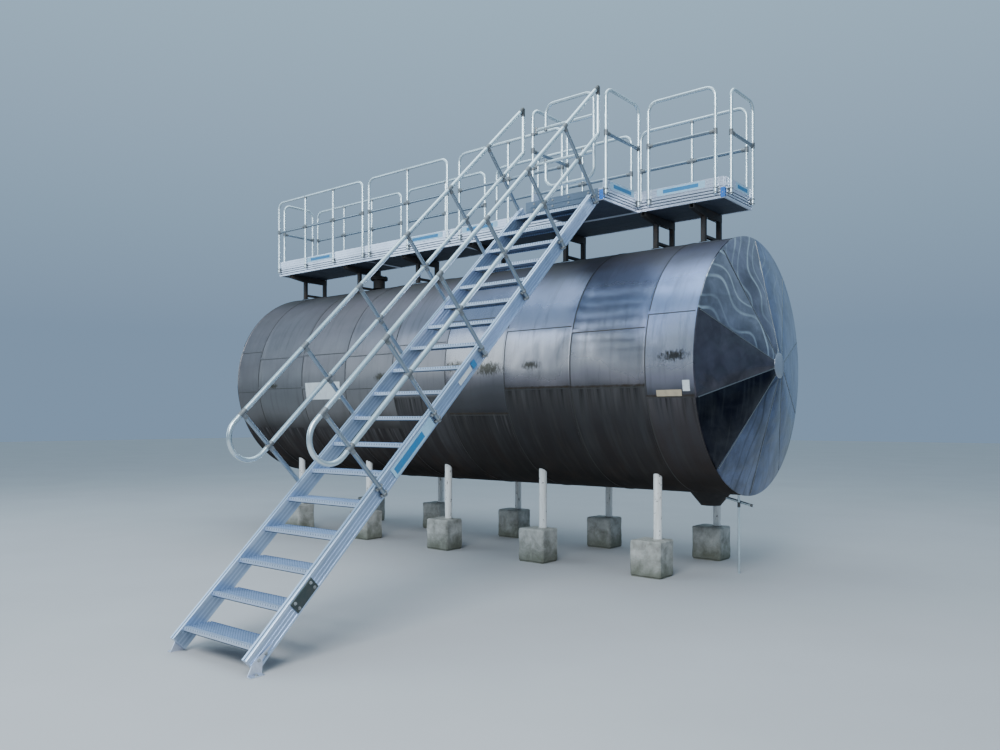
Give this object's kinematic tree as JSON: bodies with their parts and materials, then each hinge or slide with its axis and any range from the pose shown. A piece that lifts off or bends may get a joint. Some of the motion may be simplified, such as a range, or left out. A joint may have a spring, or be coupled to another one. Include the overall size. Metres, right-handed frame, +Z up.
{
  "type": "horizontal storage tank with access stair and walkway",
  "caption": "Horizontal steel tank with conical ends on pipe legs with concrete feet, a railed walkway along its crown, a landing with a swing gate and a straight stair.",
  "frame": {"origin": "on the ground, at the centre of the whole object's outline seen from above", "axes": "+X along the tank, towards the end where the stair stands; +Y from the stair towards the tank; +Z up"},
  "size_m": [7.7906, 6.6617, 4.9153],
  "materials": {
    "stainless_sheet": "weathered stainless sheet, dull and dusty above, dark and streaked below",
    "mill_aluminium": "mill finish aluminium, lightly weathered",
    "dark_steel": "dark weathered steel",
    "white_paint": "flaking white paint on the pipe, bare concrete below"
  },
  "bodies": {
    "plant": {"deck_module_1": "mill_aluminium", "deck_module_2": "mill_aluminium", "deck_module_3": "mill_aluminium", "deck_module_4": "mill_aluminium", "drain_outlet": "dark_steel", "guard_back": "mill_aluminium", "guard_end_left": "mill_aluminium", "guard_end_right": "mill_aluminium", "guard_front_left": "mill_aluminium", "guard_front_right": "mill_aluminium", "guard_landing_left": "mill_aluminium", "guard_landing_right": "mill_aluminium", "landing_deck": "mill_aluminium", "stair_handrail_left": "mill_aluminium", "stair_handrail_right": "mill_aluminium", "stair_head_plate": "mill_aluminium", "stair_stringer_left": "mill_aluminium", "stair_stringer_right": "mill_aluminium", "stair_tread_01": "mill_aluminium", "stair_tread_02": "mill_aluminium", "stair_tread_03": "mill_aluminium", "stair_tread_04": "mill_aluminium", "stair_tread_05": "mill_aluminium", "stair_tread_06": "mill_aluminium", "stair_tread_07": "mill_aluminium", "stair_tread_08": "mill_aluminium", "stair_tread_09": "mill_aluminium", "stair_tread_10": "mill_aluminium", "stair_tread_11": "mill_aluminium", "stair_tread_12": "mill_aluminium", "stair_tread_13": "mill_aluminium", "stair_tread_14": "mill_aluminium", "stair_tread_15": "mill_aluminium", "stair_tread_16": "mill_aluminium", "stair_tread_17": "mill_aluminium", "stair_tread_18": "mill_aluminium", "support_frame_1": "dark_steel", "support_frame_2": "dark_steel", "support_frame_3": "dark_steel", "support_frame_4": "dark_steel", "support_frame_5": "dark_steel", "support_frame_6": "dark_steel", "support_frame_7": "dark_steel", "tank_end_left": "stainless_sheet", "tank_end_right": "stainless_sheet", "tank_leg_back_1": "white_paint", "tank_leg_back_2": "white_paint", "tank_leg_back_3": "white_paint", "tank_leg_back_4": "white_paint", "tank_leg_back_5": "white_paint", "tank_leg_front_1": "white_paint", "tank_leg_front_2": "white_paint", "tank_leg_front_3": "white_paint", "tank_leg_front_4": "white_paint", "tank_leg_front_5": "white_paint", "tank_shell": "stainless_sheet", "top_nozzle": "dark_steel"},
    "gate": {"gate": "mill_aluminium"}
  },
  "joints": [
    {"name": "gate_hinge", "type": "hinge", "parent": "plant", "child": "gate", "pos_m": [1.7672, 0.7299, 4.4755], "axis": [0, 0, 1], "range_deg": [0, 90]}
  ]
}
